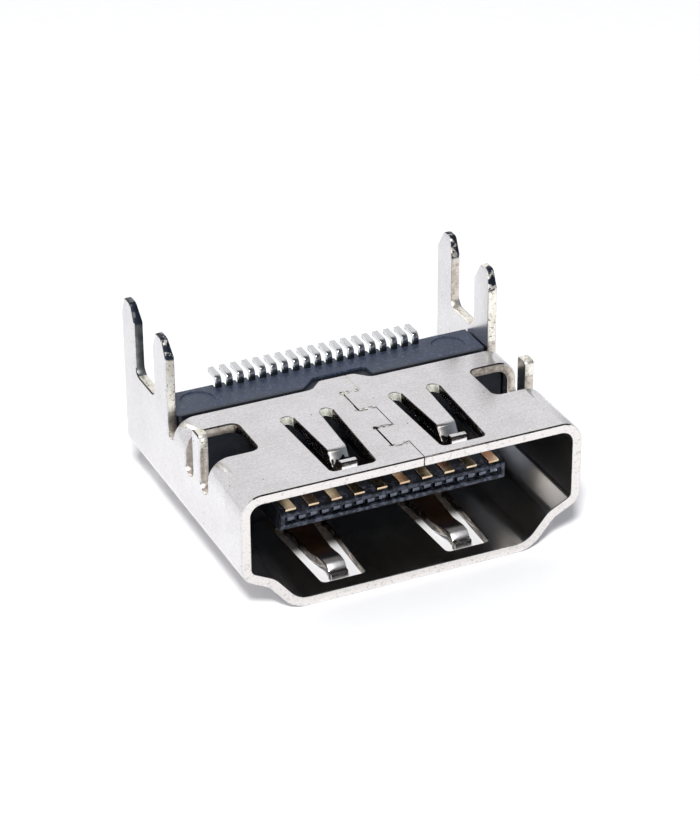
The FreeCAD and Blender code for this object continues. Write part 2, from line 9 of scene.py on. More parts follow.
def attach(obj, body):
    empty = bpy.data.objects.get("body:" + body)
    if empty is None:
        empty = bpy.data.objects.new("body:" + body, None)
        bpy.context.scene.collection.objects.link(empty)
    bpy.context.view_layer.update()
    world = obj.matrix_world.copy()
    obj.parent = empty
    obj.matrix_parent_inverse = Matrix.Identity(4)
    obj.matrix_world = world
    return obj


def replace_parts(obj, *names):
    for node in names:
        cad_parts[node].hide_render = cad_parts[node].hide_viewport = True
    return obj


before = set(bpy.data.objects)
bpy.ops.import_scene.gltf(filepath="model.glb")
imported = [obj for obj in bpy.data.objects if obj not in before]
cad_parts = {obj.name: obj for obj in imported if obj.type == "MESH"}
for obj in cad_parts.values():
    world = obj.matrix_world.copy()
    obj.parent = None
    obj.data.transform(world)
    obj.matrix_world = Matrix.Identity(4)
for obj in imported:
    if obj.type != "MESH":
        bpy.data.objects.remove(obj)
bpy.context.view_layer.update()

# A digital video socket for a printed board, legs up, as it was photographed.
# Sizes are in millimetres and turned to metres where they are used. The mouth faces -Y.

MM = 0.001
SHEET = 0.42  # the shell's gauge

# Radii of the steel's edges after the press, the moulding's and the contacts'
SHELL_ROLL = 0.05
SEAM_ROLL = 0.01
OPEN_ROLL = 0.028
MOULD_ROLL = 0.035
CONTACT_ROLL = 0.012
CORNER = 35.0  # an edge that turns by more is rolled over, in degrees
SHADING_BREAK = 40.0

# Places that the shell's finishes follow, in the row frame
MOUTH_FACE = -6.205
ROOF_TOP = 5.53
ROOF_UNDER = ROOF_TOP - SHEET
OVER_TONGUE = 4.2
LEG_TOP = 8.77
COIN_HEIGHT = 0.8  # the coined part of a leg's tip
REAR_LEG = 4.6  # just in front of the rear legs
SEAM_REACH = 0.5  # the seam's tabs lie within this of the middle
SEAM_STEP = -0.055  # one of the seam's cross steps
SEAM_PITCH = 1.6  # and how far apart they are
OPEN_TABS = (-0.40, -0.28)  # the side of the tabs that stands open
FINGER_X = 3.0  # near the middle line of the floor's fingers
FINGER_REACH = 3.6  # outer side of the wide wall's fingers
FINGER_SHADE_LEVEL = 5.12  # the wide wall's fingers are painted black below this, as shade in the dip
SLOT_END = -1.12  # where the wide wall's slots start to round off
SLOT_END_LENGTH = 0.4
SLOT_REACH = 4.0  # outer side of those slots
ENCLOSED = (0.6, 2.4)  # the shell is closed in front of this and open behind it
INNER_SKIN = (0.3, 0.38)  # depth through the sheet
CUT_FRONT = 1.5  # rearward cut faces in front of this are the slots' and windows'

# The housing's
DECK_FRONT = 1.46
DECK_TOP = 5.2
NOSE_REAR = -3.75  # rear end of the tongue's rough nose

# And the contacts'
GOLD_END = -2.6
TIN_START = 2.45
TIP_FACE = -3.98
TIP_LOW, TIP_HIGH = 2.51, 3.25  # the cut tips in the nose lie between these
RISER_BEND = 5.56

# Settings that many nodes share
SMOOTH = {"interpolation_type": "SMOOTHSTEP"}
COLOUR = {"data_type": "RGBA"}
FALLING = {"To Min": 1.0, "To Max": 0.0}


# ---------------------------------------------------------------- colour and nodes
def ink(code):
    """An sRGB hex value as linear light."""
    channels = [int(code[i:i + 2], 16) / 255 for i in (1, 3, 5)]
    return [c / 12.92 if c <= 0.04045 else ((c + 0.055) / 1.055) ** 2.4 for c in channels] + [1.0]


def add(tree, kind, gives=None, sockets=(), **settings):
    """Adds one node with its settings. A socket takes a value, a hex colour or another node's
    output, and what comes back is the named output, or the node where none is named."""
    node = tree.nodes.new("ShaderNode" + kind)
    for word, value in settings.items():
        setattr(node, word, value)
    for socket, value in dict(sockets).items():
        if isinstance(value, bpy.types.NodeSocket):
            tree.links.new(value, node.inputs[socket])
        else:
            node.inputs[socket].default_value = ink(value) if isinstance(value, str) else value
    return node if gives is None else node.outputs[gives]


def finish_of(name):
    """An empty material with its shader, its output and the object's own coordinates, in
    millimetres."""
    material = bpy.data.materials.new(name)
    material.use_nodes = True
    tree = material.node_tree
    tree.nodes.clear()
    shader = add(tree, "BsdfPrincipled")
    add(tree, "OutputMaterial", None, {"Surface": shader.outputs["BSDF"]})
    place = add(tree, "TexCoord", "Object")
    millimetres = add(tree, "Mapping", "Vector", {"Vector": place, "Scale": (1 / MM,) * 3})
    return material, tree, shader, millimetres


# ---------------------------------------------------------------- finishes
def nickel_sheet():
    """Steel strip, cold rolled and nickel plated, folded after plating: satin and neutral, with a
    cloudy, mottled sheen, faint rolling lines along the mouth, a few dark pits, a darker inner
    skin that the light hardly reaches, and rough dark marks where the seam was staked."""
    material, tree, shader, place = finish_of("nickel_plated_steel_strip")
    # Clouds 0.9 mm across; the plating's own grain is about 0.01 mm and is drawn at 0.05 mm to show
    clouds = add(tree, "TexNoise", "Fac",
                 {"Vector": place, "Scale": 0.55, "Detail": 4.0, "Roughness": 0.6})
    crystals = add(tree, "TexNoise", "Fac", {"Vector": place, "Scale": 10.0, "Detail": 2.0})
    # Rolling lines run along the mouth and lie 0.035 mm apart
    rolled = add(tree, "Mapping", "Vector", {"Vector": place, "Scale": (0.05, 1.0, 1.0)})
    lines = add(tree, "TexNoise", "Fac", {"Vector": rolled, "Scale": 14.0, "Detail": 2.0})
    # Pits of 0.03 to 0.08 mm
    pits = add(tree, "TexVoronoi", "Distance", {"Vector": place, "Scale": 1.6}, feature="F1")
    pit = add(tree, "MapRange", "Result",
              {"Value": pits, "From Min": 0.03, "From Max": 0.07, **FALLING}, **SMOOTH)

    # Painted glints: bright specks of 0.02 to 0.05 mm
    glint_noise = add(tree, "TexNoise", "Fac", {"Vector": place, "Scale": 13.0, "Detail": 1.0})
    glint = add(tree, "MapRange", "Result",
                {"Value": glint_noise, "From Min": 0.66, "From Max": 0.74, "To Max": 0.7}, **SMOOTH)

    cloudy = add(tree, "MapRange", "Result",
                 {"Value": clouds, "From Min": 0.35, "From Max": 0.65}, **SMOOTH)
    mottled = add(tree, "MapRange", "Result",
                  {"Value": crystals, "From Min": 0.36, "From Max": 0.64}, **SMOOTH)
    lined = add(tree, "MapRange", "Result",
                {"Value": lines, "From Min": 0.3, "From Max": 0.7, "To Max": 0.18}, **SMOOTH)
    deep = add(tree, "Mix", 2, {0: cloudy, 6: "#CCCACB", 7: "#D4D3D4"}, **COLOUR)
    light = add(tree, "Mix", 2, {0: cloudy, 6: "#D7D5D7", 7: "#DFDEE0"}, **COLOUR)
    tone = add(tree, "Mix", 2, {0: mottled, 6: deep, 7: light}, **COLOUR)
    for amount, code in ((lined, "#EFEDEB"), (glint, "#FBFAF9"), (pit, "#4A443F")):
        tone = add(tree, "Mix", 2, {0: amount, 6: tone, 7: code}, **COLOUR)

    # Below their crest the wide wall's fingers are painted bright, as a highlight, and painted
    # black, as shade, with a ragged rim of patches 0.3 mm across, in the dip behind the tip and
    # under it
    parts = add(tree, "SeparateXYZ", None, {"Vector": place})
    from_middle = add(tree, "Math", 0, {0: parts.outputs["X"]}, operation="ABSOLUTE")
    on_finger = add(tree, "Math", 0, {0: from_middle, 1: FINGER_REACH}, operation="LESS_THAN")
    sunk = add(tree, "MapRange", "Result",
               {"Value": parts.outputs["Z"], "From Min": ROOF_TOP - 0.1,
                "From Max": ROOF_TOP - 0.04, **FALLING}, **SMOOTH)
    high = add(tree, "Math", 0, {0: parts.outputs["Z"], 1: OVER_TONGUE}, operation="GREATER_THAN")
    for limit in (high, on_finger):
        sunk = add(tree, "Math", 0, {0: sunk, 1: limit}, operation="MULTIPLY")
    patch_noise = add(tree, "TexNoise", "Fac", {"Vector": place, "Scale": 1.9, "Detail": 2.0})
    ragged = add(tree, "MapRange", "Result",
                 {"Value": patch_noise, "From Min": 0.3, "From Max": 0.7, "To Min": -0.2,
                  "To Max": 0.14})
    level = add(tree, "Math", 0, {0: parts.outputs["Z"], 1: ragged}, operation="ADD")
    black = add(tree, "MapRange", "Result",
                {"Value": level, "From Min": FINGER_SHADE_LEVEL, "From Max": FINGER_SHADE_LEVEL + 0.05,
                 **FALLING}, **SMOOTH)
    painted_patches = add(tree, "Mix", 2, {0: black, 6: "#F6F5F4", 7: "#211F20"}, **COLOUR)
    tone = add(tree, "Mix", 2, {0: sunk, 6: tone, 7: painted_patches}, **COLOUR)

    # Staking marks within 0.5 mm of the seam, at each of its cross steps, 1.6 mm apart
    shifted = add(tree, "Math", 0, {0: parts.outputs["Y"], 1: SEAM_STEP}, operation="SUBTRACT")
    from_step = add(tree, "Math", 0, {0: shifted, 1: SEAM_PITCH / 2}, operation="PINGPONG")
    near_seam = add(tree, "MapRange", "Result",
                    {"Value": from_middle, "From Min": SEAM_REACH - 0.08,
                     "From Max": SEAM_REACH + 0.02, **FALLING}, **SMOOTH)
    near_step = add(tree, "MapRange", "Result",
                    {"Value": from_step, "From Min": 0.06, "From Max": 0.16, **FALLING}, **SMOOTH)
    on_roof = add(tree, "Math", 0,
                  {0: parts.outputs["Z"], 1: ROOF_TOP - 0.1}, operation="GREATER_THAN")
    staked = near_seam
    for limit in (near_step, on_roof):
        staked = add(tree, "Math", 0, {0: staked, 1: limit}, operation="MULTIPLY")
    crushed = add(tree, "TexNoise", "Fac", {"Vector": place, "Scale": 7.0, "Detail": 3.0})
    bruised = add(tree, "MapRange", "Result",
                  {"Value": crushed, "From Min": 0.45, "From Max": 0.55}, **SMOOTH)
    marked = add(tree, "Math", 0, {0: staked, 1: bruised}, operation="MULTIPLY")
    tone = add(tree, "Mix", 2, {0: marked, 6: tone, 7: "#77736F"}, **COLOUR)

    # The inner skin is painted darker, as shade, where the shell is closed round it
    depth = add(tree, "Attribute", "Fac", attribute_name="through_sheet", attribute_type="GEOMETRY")
    inside = add(tree, "MapRange", "Result",
                 {"Value": depth, "From Min": INNER_SKIN[0], "From Max": INNER_SKIN[1]}, **SMOOTH)
    enclosed = add(tree, "MapRange", "Result",
                   {"Value": parts.outputs["Y"], "From Min": ENCLOSED[0], "From Max": ENCLOSED[1],
                    **FALLING}, **SMOOTH)
    inside = add(tree, "Math", 0, {0: inside, 1: enclosed}, operation="MULTIPLY")
    # Behind the floor's fingers an orange reflection of the gold pads is painted, and their tips
    # are rough with burrs
    from_finger = add(tree, "Math", 0, {0: from_middle, 1: FINGER_X}, operation="SUBTRACT")
    from_finger = add(tree, "Math", 0, {0: from_finger}, operation="ABSOLUTE")
    beside = add(tree, "MapRange", "Result",
                 {"Value": from_finger, "From Min": 0.3, "From Max": 1.3, **FALLING}, **SMOOTH)
    behind = add(tree, "MapRange", "Result",
                 {"Value": parts.outputs["Y"], "From Min": -4.2, "From Max": -3.2}, **SMOOTH)
    gold_reflection = add(tree, "Math", 0, {0: beside, 1: behind}, operation="MULTIPLY")
    hidden = add(tree, "Mix", 2, {0: gold_reflection, 6: "#C4C1BE", 7: "#E0A27A"}, **COLOUR)
    ahead = add(tree, "MapRange", "Result",
                {"Value": parts.outputs["Y"], "From Min": -4.4, "From Max": -4.0, **FALLING},
                **SMOOTH)
    near = add(tree, "MapRange", "Result",
               {"Value": from_finger, "From Min": 0.5, "From Max": 0.9, **FALLING}, **SMOOTH)
    raised = add(tree, "MapRange", "Result",
                 {"Value": parts.outputs["Z"], "From Min": SHEET + 0.02, "From Max": SHEET + 0.12},
                 **SMOOTH)
    low = add(tree, "Math", 0, {0: parts.outputs["Z"], 1: 1.0}, operation="LESS_THAN")
    brushed = ahead
    for limit in (near, raised, low):
        brushed = add(tree, "Math", 0, {0: brushed, 1: limit}, operation="MULTIPLY")
    burr = add(tree, "Mix", 2, {0: bruised, 6: "#5E5B57", 7: "#8E8B86"}, **COLOUR)
    hidden = add(tree, "Mix", 2, {0: brushed, 6: hidden, 7: burr}, **COLOUR)
    tone = add(tree, "Mix", 2, {0: inside, 6: tone, 7: hidden}, **COLOUR)
    tree.links.new(tone, shader.inputs["Base Color"])
    shader.inputs["Metallic"].default_value = 1.0
    gloss = add(tree, "MapRange", "Result",
                {"Value": clouds, "From Min": 0.3, "From Max": 0.7, "To Min": 0.22, "To Max": 0.26},
                **SMOOTH)
    matt = add(tree, "Math", 0, {0: brushed, 1: 0.34}, operation="MULTIPLY")
    gloss = add(tree, "Math", 0, {0: gloss, 1: matt}, operation="ADD")
    tree.links.new(gloss, shader.inputs["Roughness"])
    skin = add(tree, "Bump", "Normal", {"Height": lines, "Distance": 0.0003 * MM})
    skin = add(tree, "Bump", "Normal",
               {"Height": pit, "Distance": 0.005 * MM, "Normal": skin}, invert=True)
    pressed = add(tree, "Math", 0, {0: staked, 1: crushed}, operation="MULTIPLY")
    skin = add(tree, "Bump", "Normal",
               {"Height": pressed, "Distance": 0.015 * MM, "Normal": skin}, invert=True)
    tree.links.new(skin, shader.inputs["Normal"])
    return material


def sheared_edge():
    """The strip's cut face, plated over. The mouth's is bright, unmarked but for grey specks; the
    slots' and windows' sideways faces are torn and painted brown and nearly black, as shade, and
    their rear ends painted near-white, as a highlight; the legs' are pale or bronze with dark
    specks, painted paler on the front legs, and painted dull blue-grey at the left rear and
    blue-black at the tips, as painted reflections."""
    material, tree, shader, place = finish_of("nickel_plated_steel_sheared")
    parts = add(tree, "SeparateXYZ", None, {"Vector": place})
    # Tears are 0.02 to 0.06 mm across; drawn at 0.06 and 0.12 mm
    tears = add(tree, "TexNoise", "Fac",
                {"Vector": place, "Scale": 8.0, "Detail": 3.0, "Roughness": 0.65})
    patches = add(tree, "TexNoise", "Fac", {"Vector": place, "Scale": 3.0, "Detail": 2.0})
    flecks = add(tree, "MapRange", "Result",
                 {"Value": tears, "From Min": 0.56, "From Max": 0.66}, **SMOOTH)
    gouges = add(tree, "MapRange", "Result",
                 {"Value": tears, "From Min": 0.33, "From Max": 0.45, **FALLING}, **SMOOTH)
    patchy = add(tree, "MapRange", "Result",
                 {"Value": patches, "From Min": 0.35, "From Max": 0.65}, **SMOOTH)

    mouth = add(tree, "Mix", 2, {0: gouges, 6: "#EAE6E3", 7: "#CAC7C4"}, **COLOUR)
    # The slots' and windows' cut is painted dark brown and nearly black, as shade
    slot = add(tree, "Mix", 2, {0: patchy, 6: "#2B2725", 7: "#6E655C"}, **COLOUR)
    # The punch left light scratches along the slots, 0.06 mm apart
    drawn = add(tree, "Mapping", "Vector", {"Vector": place, "Scale": (1.0, 0.15, 1.0)})
    scratches = add(tree, "TexNoise", "Fac", {"Vector": drawn, "Scale": 8.0, "Detail": 2.0})
    scratched = add(tree, "MapRange", "Result",
                    {"Value": scratches, "From Min": 0.56, "From Max": 0.66}, **SMOOTH)
    slot = add(tree, "Mix", 2, {0: scratched, 6: slot, 7: "#B9AFA3"}, **COLOUR)
    leg = add(tree, "Mix", 2, {0: patchy, 6: "#C6BDB2", 7: "#E0D9D0"}, **COLOUR)
    leg = add(tree, "Mix", 2, {0: gouges, 6: leg, 7: "#A79E93"}, **COLOUR)
    leg = add(tree, "Mix", 2, {0: flecks, 6: leg, 7: "#F0EBE3"}, **COLOUR)
    # The front legs' cut is painted paler, as lit, and has dark specks, and the left rear leg's is
    # painted dull blue-grey, as a painted reflection of something dark
    frame_cut = leg
    pale = add(tree, "Mix", 2, {0: patchy, 6: "#F0EBDF", 7: "#FFFDF5"}, **COLOUR)
    pale = add(tree, "Mix", 2, {0: gouges, 6: pale, 7: "#8C8578"}, **COLOUR)
    rear_leg = add(tree, "Math", 0, {0: parts.outputs["Y"], 1: REAR_LEG}, operation="GREATER_THAN")
    leg = add(tree, "Mix", 2, {0: rear_leg, 6: pale, 7: leg}, **COLOUR)
    on_left = add(tree, "Math", 0, {0: parts.outputs["X"], 1: 0.0}, operation="LESS_THAN")
    left_rear = add(tree, "Math", 0, {0: rear_leg, 1: on_left}, operation="MULTIPLY")
    dull = add(tree, "Mix", 2, {0: patchy, 6: "#6B7074", 7: "#878B8B"}, **COLOUR)
    leg = add(tree, "Mix", 2, {0: left_rear, 6: leg, 7: dull}, **COLOUR)

    # The coined tips, the last 0.8 mm, are painted blue-black in patches 0.2 mm across, a painted
    # reflection of the dark front surroundings
    coined = add(tree, "MapRange", "Result",
                 {"Value": parts.outputs["Z"], "From Min": LEG_TOP - COIN_HEIGHT - 0.15,
                  "From Max": LEG_TOP - COIN_HEIGHT}, **SMOOTH)
    patch_noise = add(tree, "TexNoise", "Fac",
                 {"Vector": place, "Scale": 2.6, "Detail": 3.0, "Roughness": 0.6})
    painted_patches = add(tree, "MapRange", "Result",
                  {"Value": patch_noise, "From Min": 0.44, "From Max": 0.5}, **SMOOTH)
    painted_patches = add(tree, "Math", 0, {0: coined, 1: painted_patches}, operation="MULTIPLY")
    leg = add(tree, "Mix", 2, {0: painted_patches, 6: leg, 7: "#333A46"}, **COLOUR)
    # Cut faces that look sideways are torn and painted dark, as shade and the dark slot walls they
    # reflect; the others are painted lit as the legs' are
    sideways = add(tree, "Attribute", "Fac",
                   attribute_name="faces_sideways", attribute_type="GEOMETRY")
    lit = add(tree, "MapRange", "Result",
              {"Value": sideways, "From Min": 0.5, "From Max": 0.8, **FALLING}, **SMOOTH)
    slot = add(tree, "Mix", 2, {0: lit, 6: slot, 7: frame_cut}, **COLOUR)
    # The wide wall's slots end in a rough half round, painted near-white as a highlight
    from_middle = add(tree, "Math", 0, {0: parts.outputs["X"]}, operation="ABSOLUTE")
    past_end = add(tree, "Math", 0, {0: parts.outputs["Y"], 1: SLOT_END}, operation="GREATER_THAN")
    slot_wide = add(tree, "Math", 0, {0: from_middle, 1: SLOT_REACH}, operation="LESS_THAN")
    in_roof = add(tree, "Math", 0,
                  {0: parts.outputs["Z"], 1: ROOF_UNDER - 0.05}, operation="GREATER_THAN")
    slot_end = past_end
    for limit in (slot_wide, in_roof):
        slot_end = add(tree, "Math", 0, {0: slot_end, 1: limit}, operation="MULTIPLY")
    slot = add(tree, "Mix", 2, {0: slot_end, 6: slot, 7: "#F6F7EF"}, **COLOUR)
    at_mouth = add(tree, "Math", 0,
                   {0: parts.outputs["Y"], 1: MOUTH_FACE + 0.06}, operation="LESS_THAN")
    above = add(tree, "Math", 0,
                {0: parts.outputs["Z"], 1: ROOF_TOP + 0.04}, operation="GREATER_THAN")
    tone = add(tree, "Mix", 2, {0: above, 6: slot, 7: leg}, **COLOUR)
    tone = add(tree, "Mix", 2, {0: at_mouth, 6: tone, 7: mouth}, **COLOUR)
    tree.links.new(tone, shader.inputs["Base Color"])
    shader.inputs["Metallic"].default_value = 1.0
    gloss = add(tree, "MapRange", "Result",
                {"Value": tears, "From Min": 0.3, "From Max": 0.7, "To Min": 0.2, "To Max": 0.32})
    behind_mouth = add(tree, "Math", 0, {0: lit, 1: at_mouth}, operation="SUBTRACT")
    matt = add(tree, "MapRange", "Result", {"Value": behind_mouth, "To Max": 0.16})
    gloss = add(tree, "Math", 0, {0: gloss, 1: matt}, operation="ADD")
    rough = add(tree, "Math", 0, {0: slot_end, 1: 0.35}, operation="MULTIPLY")
    gloss = add(tree, "Math", 0, {0: gloss, 1: rough}, operation="ADD")
    tree.links.new(gloss, shader.inputs["Roughness"])
    skin = add(tree, "Bump", "Normal", {"Height": tears, "Distance": 0.0014 * MM})
    tree.links.new(skin, shader.inputs["Normal"])
    return material


def painted_dark_edge():
    """Rounded edges painted dull, dark grey and a little brown: a painted reflection of the dark
    surroundings, and painted shade in the seam's open gap.
    """
    material, tree, shader, place = finish_of("nickel_plated_steel_painted_dark")
    # Streaks 0.06 mm across in the painted dark
    streak_noise = add(tree, "TexNoise", "Fac", {"Vector": place, "Scale": 8.0, "Detail": 2.0})
    streaked = add(tree, "MapRange", "Result", {"Value": streak_noise, "From Min": 0.35, "From Max": 0.7})
    tone = add(tree, "Mix", 2, {0: streaked, 6: "#1F1C1B", 7: "#625E5B"}, **COLOUR)
    tree.links.new(tone, shader.inputs["Base Color"])
    shader.inputs["Metallic"].default_value = 1.0
    shader.inputs["Roughness"].default_value = 0.35
    return material


def moulded_plastic():
    """Glass-filled thermoplastic, injection moulded: blue-black with a fine matt skin, a cool
    sheen, faint flow clouds and light specks of fibre and dust."""
    material, tree, shader, place = finish_of("glass_filled_plastic_moulded")
    # Flow clouds 1.2 mm across, fibre ends of about 0.015 mm drawn at 0.05 mm, and dust of 0.01 to
    # 0.03 mm
    clouds = add(tree, "TexNoise", "Fac",
                 {"Vector": place, "Scale": 0.42, "Detail": 3.0, "Roughness": 0.6})
    fibres = add(tree, "TexNoise", "Fac", {"Vector": place, "Scale": 10.0, "Detail": 2.0})
    dust = add(tree, "TexVoronoi", "Distance", {"Vector": place, "Scale": 4.5}, feature="F1")
    fibrous = add(tree, "MapRange", "Result",
                  {"Value": fibres, "From Min": 0.5, "From Max": 0.75, "To Max": 0.6}, **SMOOTH)
    speck = add(tree, "MapRange", "Result",
                {"Value": dust, "From Min": 0.03, "From Max": 0.07, **FALLING}, **SMOOTH)
    # The deck's top behind the wide wall is painted lighter, as lit, with lighter fibres; its front
    # edge and what the shell covers are painted darker, as shade
    parts = add(tree, "SeparateXYZ", None, {"Vector": place})
    behind = add(tree, "MapRange", "Result",
                 {"Value": parts.outputs["Y"], "From Min": DECK_FRONT,
                  "From Max": DECK_FRONT + 0.18}, **SMOOTH)
    lit_top = add(tree, "MapRange", "Result",
                {"Value": parts.outputs["Z"], "From Min": DECK_TOP - 0.06, "From Max": DECK_TOP},
                **SMOOTH)
    lit_top = add(tree, "Math", 0, {0: behind, 1: lit_top}, operation="MULTIPLY")
    shaded_tone = add(tree, "Mix", 2, {0: clouds, 6: "#06070A", 7: "#0A0C10"}, **COLOUR)
    lit_tone = add(tree, "Mix", 2, {0: clouds, 6: "#1E2432", 7: "#2E374B"}, **COLOUR)
    tone = add(tree, "Mix", 2, {0: lit_top, 6: shaded_tone, 7: lit_tone}, **COLOUR)
    fibre = add(tree, "Mix", 2, {0: lit_top, 6: "#1B1E24", 7: "#57617A"}, **COLOUR)
    tone = add(tree, "Mix", 2, {0: fibrous, 6: tone, 7: fibre}, **COLOUR)
    # The nose is rough where the mould parts, in patches of 0.1 mm
    nose = add(tree, "MapRange", "Result",
               {"Value": parts.outputs["Y"], "From Min": NOSE_REAR - 0.2, "From Max": NOSE_REAR,
                **FALLING}, **SMOOTH)
    patches = add(tree, "TexNoise", "Fac", {"Vector": place, "Scale": 5.0, "Detail": 2.0})
    patchy = add(tree, "MapRange", "Result",
                 {"Value": patches, "From Min": 0.46, "From Max": 0.6}, **SMOOTH)
    patchy = add(tree, "Math", 0, {0: patchy, 1: nose}, operation="MULTIPLY")
    tone = add(tree, "Mix", 2, {0: patchy, 6: tone, 7: "#4C505E"}, **COLOUR)
    tone = add(tree, "Mix", 2, {0: speck, 6: tone, 7: "#A4A9B4"}, **COLOUR)
    tree.links.new(tone, shader.inputs["Base Color"])
    shader.inputs["IOR"].default_value = 1.58
    shader.inputs["Specular IOR Level"].default_value = 0.65
    shader.inputs["Specular Tint"].default_value = ink("#D2DEF4")
    gloss = add(tree, "MapRange", "Result",
                {"Value": clouds, "From Min": 0.3, "From Max": 0.7, "To Min": 0.4, "To Max": 0.52},
                **SMOOTH)
    tree.links.new(gloss, shader.inputs["Roughness"])
    skin = add(tree, "Bump", "Normal", {"Height": fibres, "Distance": 0.006 * MM})
    tree.links.new(skin, shader.inputs["Normal"])
    return material


def contact_strip():
    """Copper alloy strip: thin gold over nickel where the plug wipes it, pale and rubbed to a
    reddish tone in places, bare nickel through the moulding, tin on the tail that is soldered,
    and grey cut tips in the tongue's nose."""
    material, tree, shader, place = finish_of("plated_copper_alloy_strip")
    parts = add(tree, "SeparateXYZ", None, {"Vector": place})
    y, z = parts.outputs["Y"], parts.outputs["Z"]
    # Rubbed patches about 0.6 mm across, plating clouds of 0.25 mm, cut marks of 0.06 mm
    clouds = add(tree, "TexNoise", "Fac", {"Vector": place, "Scale": 2.0, "Detail": 3.0})
    patches = add(tree, "TexNoise", "Fac", {"Vector": place, "Scale": 0.8, "Detail": 2.0})
    cuts = add(tree, "TexNoise", "Fac", {"Vector": place, "Scale": 8.0, "Detail": 2.0})
    wear = add(tree, "MapRange", "Result",
               {"Value": clouds, "From Min": 0.3, "From Max": 0.7, "To Min": -0.12, "To Max": 0.12})
    along = add(tree, "Math", 0, {0: y, 1: wear}, operation="ADD")
    rubbed = add(tree, "MapRange", "Result",
                 {"Value": patches, "From Min": 0.52, "From Max": 0.66}, **SMOOTH)
    bare = add(tree, "MapRange", "Result",
               {"Value": along, "From Min": GOLD_END, "From Max": GOLD_END + 0.3}, **SMOOTH)
    tinned = add(tree, "MapRange", "Result",
                 {"Value": along, "From Min": TIN_START, "From Max": TIN_START + 0.1}, **SMOOTH)
    gold = add(tree, "Mix", 2, {0: clouds, 6: "#D8B991", 7: "#F0DFC4"}, **COLOUR)
    gold = add(tree, "Mix", 2, {0: rubbed, 6: gold, 7: "#C99878"}, **COLOUR)
    tone = add(tree, "Mix", 2, {0: bare, 6: gold, 7: "#C4BEB4"}, **COLOUR)
    tone = add(tree, "Mix", 2, {0: tinned, 6: tone, 7: "#CFD1D3"}, **COLOUR)
    # The riser beside the moulding is painted dull and dark up to its bend, as shade and the dark
    # plastic it reflects
    riser_shade = add(tree, "MapRange", "Result",
                {"Value": z, "From Min": RISER_BEND - 0.18, "From Max": RISER_BEND, **FALLING},
                **SMOOTH)
    riser_shade = add(tree, "Math", 0, {0: riser_shade, 1: tinned}, operation="MULTIPLY")
    tone = add(tree, "Mix", 2, {0: riser_shade, 6: tone, 7: "#5C625C"}, **COLOUR)

    front = add(tree, "MapRange", "Result",
                {"Value": y, "From Min": TIP_FACE - 0.02, "From Max": TIP_FACE, **FALLING})
    in_nose = front
    for level, side in ((TIP_LOW, "GREATER_THAN"), (TIP_HIGH, "LESS_THAN")):
        limit = add(tree, "Math", 0, {0: z, 1: level}, operation=side)
        in_nose = add(tree, "Math", 0, {0: in_nose, 1: limit}, operation="MULTIPLY")
    cut_tip = add(tree, "Mix", 2, {0: cuts, 6: "#30353F", 7: "#848A96"}, **COLOUR)
    tone = add(tree, "Mix", 2, {0: in_nose, 6: tone, 7: cut_tip}, **COLOUR)
    tree.links.new(tone, shader.inputs["Base Color"])
    shader.inputs["Metallic"].default_value = 1.0
    gloss = add(tree, "MapRange", "Result", {"Value": tinned, "To Min": 0.24, "To Max": 0.2})
    tree.links.new(gloss, shader.inputs["Roughness"])
    drawn = add(tree, "Mapping", "Vector", {"Vector": place, "Scale": (1.0, 0.1, 1.0)})
    # Drawing lines along the blade, 0.03 mm apart
    lines = add(tree, "TexNoise", "Fac", {"Vector": drawn, "Scale": 17.0, "Detail": 2.0})
    skin = add(tree, "Bump", "Normal", {"Height": lines, "Distance": 0.0015 * MM})
    tree.links.new(skin, shader.inputs["Normal"])
    return material


def paper_sweep():
    """White matt paper: plain, with the faintest tooth."""
    material, tree, shader, place = finish_of("white_matt_paper")
    fibre = add(tree, "TexNoise", "Fac", {"Vector": place, "Scale": 1.25, "Detail": 2.0})
    tone = add(tree, "Mix", 2, {0: fibre, 6: "#F7F7F8", 7: "#FBFBFC"}, **COLOUR)
    tree.links.new(tone, shader.inputs["Base Color"])
    shader.inputs["Roughness"].default_value = 0.9
    shader.inputs["Specular IOR Level"].default_value = 0.1
    return material


# ---------------------------------------------------------------- pieces
def merged(node):
    """A CAD node's loose triangles as one closed mesh."""
    mesh = bmesh.new()
    mesh.from_mesh(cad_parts[node].data)
    bmesh.ops.remove_doubles(mesh, verts=mesh.verts, dist=0.0004 * MM)
    for face in mesh.faces:
        face.material_index = 0
    return mesh


def whole_faces(mesh):
    """Joins the triangles of each flat face or strip that has one finish."""
    bmesh.ops.dissolve_limit(
        mesh, angle_limit=math.radians(0.6), verts=mesh.verts, edges=mesh.edges,
        use_dissolve_boundaries=False, delimit={"MATERIAL"},
    )


def corners(mesh, angle, wanted):
    """The edges that turn by more than this angle, in degrees, and that are wanted."""
    return [
        e for e in mesh.edges
        if len(e.link_faces) == 2 and e.calc_face_angle(0.0) > math.radians(angle) and wanted(e)
    ]


def roll(mesh, edges, width):
    """Rounds these edges over, in millimetres."""
    return bmesh.ops.bevel(
        mesh, geom=edges, affect="EDGES", offset=width * MM, offset_type="OFFSET", segments=2,
        profile=0.5, material=-1, clamp_overlap=False, loop_slide=True,
    )["faces"]


def show(mesh, name, slot, *materials):
    """Makes a finished mesh a piece that rides on the socket."""
    for face in mesh.faces:
        face.smooth = True
    data = bpy.data.meshes.new(name)
    mesh.to_mesh(data)
    mesh.free()
    for material in materials:
        data.materials.append(material)
    piece = bpy.data.objects.new(name, data)
    bpy.context.scene.collection.objects.link(piece)
    even = piece.modifiers.new("even_shading", "WEIGHTED_NORMAL")
    even.keep_sharp = True
    even.weight = 50
    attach(piece, "root")
    return piece


def sharpen(mesh, angle):
    """Where the form turns by more than this angle the shading breaks too."""
    for edge in mesh.edges:
        edge.smooth = len(edge.link_faces) != 2 or edge.calc_face_angle(0.0) < math.radians(angle)


